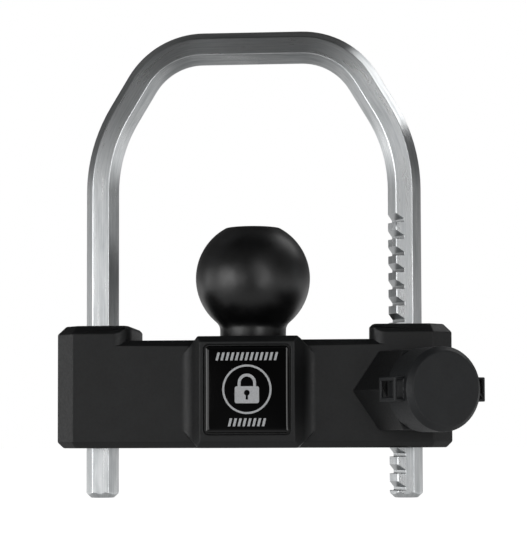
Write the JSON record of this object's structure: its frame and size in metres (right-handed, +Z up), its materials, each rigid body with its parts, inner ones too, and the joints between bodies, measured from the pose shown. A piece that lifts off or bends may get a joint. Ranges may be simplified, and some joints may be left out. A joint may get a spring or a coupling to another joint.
{
  "type": "trailer coupler lock",
  "caption": "Lock for a trailer's ball coupler: a dummy ball on a cast body, with a hexagonal ratchet shackle that closes over the coupler and a keyed lock under a dust cap.",
  "frame": {"origin": "centre of the coupler ball", "axes": "+Z up along the ball's neck and the shackle's legs, +X towards the lock side, +Y towards the flat back; the badge and lock face -Y"},
  "size_m": [0.1742, 0.0806, 0.1948],
  "materials": {
    "coated_casting": "matte black powder coat with a fine grain",
    "ball_coating": "satin black coating",
    "zinc_bar": "bright zinc plate over drawn hexagonal bar",
    "gloss_black": "glossy domed resin",
    "black_plastic": "moulded black acetal",
    "lock_zinc": "satin nickel over zinc",
    "plug_brass": "machined brass",
    "fastener_steel": "zinc plated steel",
    "soft_rubber": "black nitrile",
    "cap_rubber": "matte black moulded rubber"
  },
  "bodies": {
    "body": {"body_casting": "coated_casting", "hitch_ball": "ball_coating", "ball_bolt": "fastener_steel", "ball_washer": "fastener_steel", "ball_dowel": "fastener_steel", "badge_plate": "gloss_black", "badge_dome": "gloss_black", "leg_bush_left": "black_plastic", "leg_bush_right": "black_plastic", "lock_barrel": "lock_zinc", "pawl_spring": "fastener_steel", "pawl_cover": "coated_casting", "pawl_cover_screws": "fastener_steel", "barrel_pin": "fastener_steel", "barrel_o_ring": "soft_rubber"},
    "shackle": {"shackle": "zinc_bar"},
    "plug": {"lock_plug": "plug_brass", "lock_wafers": "plug_brass", "plug_clip": "fastener_steel", "cam_driver": "fastener_steel"},
    "pawl": {"pawl": "fastener_steel"},
    "cap": {"dust_cap": "cap_rubber", "cap_seal": "soft_rubber"}
  },
  "joints": [
    {"name": "shackle_slide", "type": "slide", "parent": "body", "child": "shackle", "axis": [0, 0, 1], "range_m": [-0.0552, 0.0552]},
    {"name": "plug_turn", "type": "hinge", "parent": "body", "child": "plug", "pos_m": [0.05367, -0.0055, -0.0476], "axis": [-0.5, 0.866, 0], "range_deg": [0, 90]},
    {"name": "pawl_slide", "type": "slide", "parent": "body", "child": "pawl", "axis": [0.866, 0.5, 0], "range_m": [0, 0.00311], "deforming": ["pawl_spring"]},
    {"name": "dust_cap_pull", "type": "slide", "parent": "body", "child": "cap", "axis": [0.5, -0.866, 0], "range_m": [0, 0.03]}
  ],
  "couplings": [
    {"joint": "plug_turn", "follows": "pawl_slide", "rad_per_m": 505.05}
  ]
}
